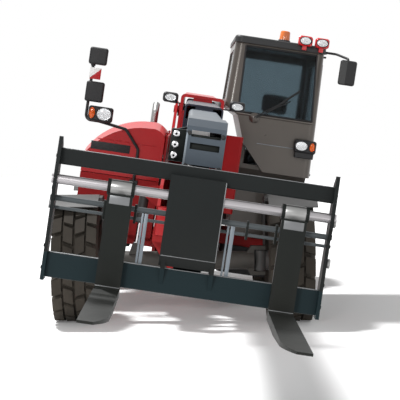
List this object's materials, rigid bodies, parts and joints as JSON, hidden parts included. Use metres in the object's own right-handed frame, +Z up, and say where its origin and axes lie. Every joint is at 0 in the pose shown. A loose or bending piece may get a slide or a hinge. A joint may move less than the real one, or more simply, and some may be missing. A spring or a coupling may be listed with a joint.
{
  "type": "telehandler",
  "caption": "Agricultural telehandler with a three-section boom run out, a wide fork carriage and all-wheel steering, its chassis levelled sideways over its axles.",
  "frame": {"origin": "on the ground, below the middle of the whole machine's box", "axes": "+X to the machine's left, the cab side; +Y to its rear, away from the forks; +Z up"},
  "size_m": [2.7388, 10.7122, 2.6094],
  "materials": {
    "hood_red": "gloss",
    "cab_champagne": "satin",
    "carriage_black": "satin",
    "frame_grey": "satin",
    "boom_navy": "satin",
    "guard_grey": "matte",
    "rim_paint": "satin",
    "tyre_rubber": "matte",
    "cylinder_steel": "polished",
    "cast_axle": "matte",
    "window_glass": "clear",
    "lamp_plastic": "gloss",
    "trim_plastic": "matte",
    "seat_cloth": "matte",
    "exhaust_steel": "satin",
    "cylinder_paint": "satin"
  },
  "bodies": {
    "chassis": {"chassis_frame": "hood_red", "frame_side_right": "hood_red", "frame_side_left": "hood_red", "counterweight": "frame_grey", "tow_hitch": "frame_grey", "engine_block": "cast_axle", "engine_bay": "hood_red", "cab_shell": "cab_champagne", "cab_glass": "window_glass", "cab_roof": "trim_plastic", "seat_base": "trim_plastic", "seat_pads": "seat_cloth", "dashboard": "trim_plastic", "steering_wheel": "trim_plastic", "fuel_tank": "trim_plastic", "right_mast": "trim_plastic", "left_mirror": "trim_plastic", "left_headlamp": "lamp_plastic", "roof_lights": "lamp_plastic", "exhaust": "exhaust_steel", "rear_lights": "lamp_plastic"},
    "cab_door": {"cab_door": "cab_champagne", "door_glass": "window_glass"},
    "engine_hood": {"engine_hood": "hood_red"},
    "front_axle": {"front_axle": "cast_axle"},
    "rear_axle": {"rear_axle": "cast_axle"},
    "boom_outer": {"boom_outer": "hood_red", "boom_lights": "lamp_plastic"},
    "boom_middle": {"boom_middle": "boom_navy"},
    "boom_inner": {"boom_inner": "boom_navy"},
    "carriage": {"fork_carriage": "carriage_black"},
    "fork_right": {"fork_right": "carriage_black"},
    "fork_left": {"fork_left": "carriage_black"},
    "lift_barrel": {"lift_barrel": "cylinder_paint"},
    "lift_rod": {"lift_rod": "cylinder_steel"},
    "tilt_barrel": {"tilt_barrel": "cylinder_paint"},
    "tilt_rod": {"tilt_rod": "cylinder_steel"},
    "level_barrel": {"level_barrel": "cylinder_paint"},
    "level_rod": {"level_rod": "cylinder_steel"},
    "knuckle_front_left": {"knuckle_front_left": "guard_grey"},
    "wheel_front_left": {"wheel_front_left": "rim_paint", "tyre_front_left": "tyre_rubber"},
    "knuckle_front_right": {"knuckle_front_right": "guard_grey"},
    "wheel_front_right": {"wheel_front_right": "rim_paint", "tyre_front_right": "tyre_rubber"},
    "knuckle_rear_left": {"knuckle_rear_left": "guard_grey"},
    "wheel_rear_left": {"wheel_rear_left": "rim_paint", "tyre_rear_left": "tyre_rubber"},
    "knuckle_rear_right": {"knuckle_rear_right": "guard_grey"},
    "wheel_rear_right": {"wheel_rear_right": "rim_paint", "tyre_rear_right": "tyre_rubber"}
  },
  "joints": [
    {"name": "front_axle_tilt", "type": "hinge", "parent": "chassis", "child": "front_axle", "pos_m": [-0.19687, 1.54608, 0.54129], "axis": [0, 1, 0], "range_deg": [0, 16.74]},
    {"name": "rear_axle_tilt", "type": "hinge", "parent": "chassis", "child": "rear_axle", "pos_m": [-0.19687, 4.32608, 0.54129], "axis": [0, 1, 0], "range_deg": [0, 16.74]},
    {"name": "steer_front_left", "type": "hinge", "parent": "front_axle", "child": "knuckle_front_left", "pos_m": [0.49313, 1.54608, 0.54129], "axis": [0, 0, 1], "range_deg": [-35, 35]},
    {"name": "steer_front_right", "type": "hinge", "parent": "front_axle", "child": "knuckle_front_right", "pos_m": [-0.88687, 1.54608, 0.54129], "axis": [0, 0, 1], "range_deg": [-35, 35]},
    {"name": "steer_rear_left", "type": "hinge", "parent": "rear_axle", "child": "knuckle_rear_left", "pos_m": [0.49313, 4.32608, 0.54129], "axis": [0, 0, 1], "range_deg": [-35, 35]},
    {"name": "steer_rear_right", "type": "hinge", "parent": "rear_axle", "child": "knuckle_rear_right", "pos_m": [-0.88687, 4.32608, 0.54129], "axis": [0, 0, 1], "range_deg": [-35, 35]},
    {"name": "roll_front_left", "type": "hinge", "parent": "knuckle_front_left", "child": "wheel_front_left", "pos_m": [0.74513, 1.54608, 0.54129], "axis": [1, 0, 0], "continuous": true},
    {"name": "roll_front_right", "type": "hinge", "parent": "knuckle_front_right", "child": "wheel_front_right", "pos_m": [-1.13887, 1.54608, 0.54129], "axis": [1, 0, 0], "continuous": true},
    {"name": "roll_rear_left", "type": "hinge", "parent": "knuckle_rear_left", "child": "wheel_rear_left", "pos_m": [0.74513, 4.32608, 0.54129], "axis": [1, 0, 0], "continuous": true},
    {"name": "roll_rear_right", "type": "hinge", "parent": "knuckle_rear_right", "child": "wheel_rear_right", "pos_m": [-1.13887, 4.32608, 0.54129], "axis": [1, 0, 0], "continuous": true},
    {"name": "cab_door_swing", "type": "hinge", "parent": "chassis", "child": "cab_door", "pos_m": [0.98058, 3.12608, 1.34445], "axis": [0.1456, 0, 0.9893], "range_deg": [0, 95]},
    {"name": "engine_hood_lift", "type": "hinge", "parent": "chassis", "child": "engine_hood", "pos_m": [-0.35159, 3.34608, 1.65366], "axis": [0, 1, 0], "range_deg": [0, 60]},
    {"name": "boom_lift", "type": "hinge", "parent": "chassis", "child": "boom_outer", "pos_m": [-0.04808, 4.80608, 1.8617], "axis": [-0.9893, 0, 0.1456], "range_deg": [-2.8, 64]},
    {"name": "boom_extend", "type": "slide", "parent": "boom_outer", "child": "boom_middle", "axis": [-0.003, -0.9998, -0.0207], "range_m": [-1.99, 0.6]},
    {"name": "boom_extend_inner", "type": "slide", "parent": "boom_middle", "child": "boom_inner", "axis": [-0.003, -0.9998, -0.0207], "range_m": [-1.99, 0.6]},
    {"name": "carriage_tilt", "type": "hinge", "parent": "boom_inner", "child": "carriage", "pos_m": [-0.12989, -3.97408, 1.30568], "axis": [0.9893, 0, -0.1456], "range_deg": [-14, 112]},
    {"name": "fork_right_shift", "type": "slide", "parent": "carriage", "child": "fork_right", "axis": [0.9893, 0, -0.1456], "range_m": [-0.248, 0.162]},
    {"name": "fork_left_shift", "type": "slide", "parent": "carriage", "child": "fork_left", "axis": [0.9893, 0, -0.1456], "range_m": [-0.285, 0.105]},
    {"name": "lift_barrel_swing", "type": "hinge", "parent": "chassis", "child": "lift_barrel", "pos_m": [-0.23469, 2.94608, 0.59335], "axis": [0.9893, 0, -0.1456], "range_deg": [-0.66, 14.64]},
    {"name": "lift_rod_extend", "type": "slide", "parent": "lift_barrel", "child": "lift_rod", "axis": [0.1043, 0.6975, 0.709], "range_m": [-0.04348, 0.98291]},
    {"name": "tilt_barrel_swing", "type": "hinge", "parent": "boom_inner", "child": "tilt_barrel", "pos_m": [-0.07479, -3.38187, 1.68013], "axis": [0.9893, 0, -0.1456], "range_deg": [-3.85, 0.5]},
    {"name": "tilt_rod_extend", "type": "slide", "parent": "tilt_barrel", "child": "tilt_rod", "axis": [-0.0636, -0.8995, -0.4323], "range_m": [-0.03837, 0.30349]},
    {"name": "level_barrel_swing", "type": "hinge", "parent": "chassis", "child": "level_barrel", "pos_m": [-0.53495, 1.54608, 1.16313], "axis": [0, 1, 0], "range_deg": [-5.56, 0.02]},
    {"name": "level_rod_extend", "type": "slide", "parent": "level_barrel", "child": "level_rod", "axis": [-0.1761, 0, -0.9844], "range_m": [-0.12371, 0.0005]}
  ],
  "couplings": [
    {"joint": "boom_extend_inner", "follows": "boom_extend", "ratio": 1},
    {"joint": "steer_front_right", "follows": "steer_front_left", "ratio": 1},
    {"joint": "steer_rear_left", "follows": "steer_front_left", "ratio": -1},
    {"joint": "steer_rear_right", "follows": "steer_front_left", "ratio": -1},
    {"joint": "lift_barrel_swing", "follows": "boom_lift", "ratio": 0.22852},
    {"joint": "lift_rod_extend", "follows": "boom_lift", "m_per_rad": 0.8795},
    {"joint": "tilt_barrel_swing", "follows": "carriage_tilt", "ratio": -0.034196},
    {"joint": "tilt_rod_extend", "follows": "carriage_tilt", "m_per_rad": 0.155},
    {"joint": "level_barrel_swing", "follows": "front_axle_tilt", "ratio": -0.33094},
    {"joint": "level_rod_extend", "follows": "front_axle_tilt", "m_per_rad": -0.4217}
  ]
}
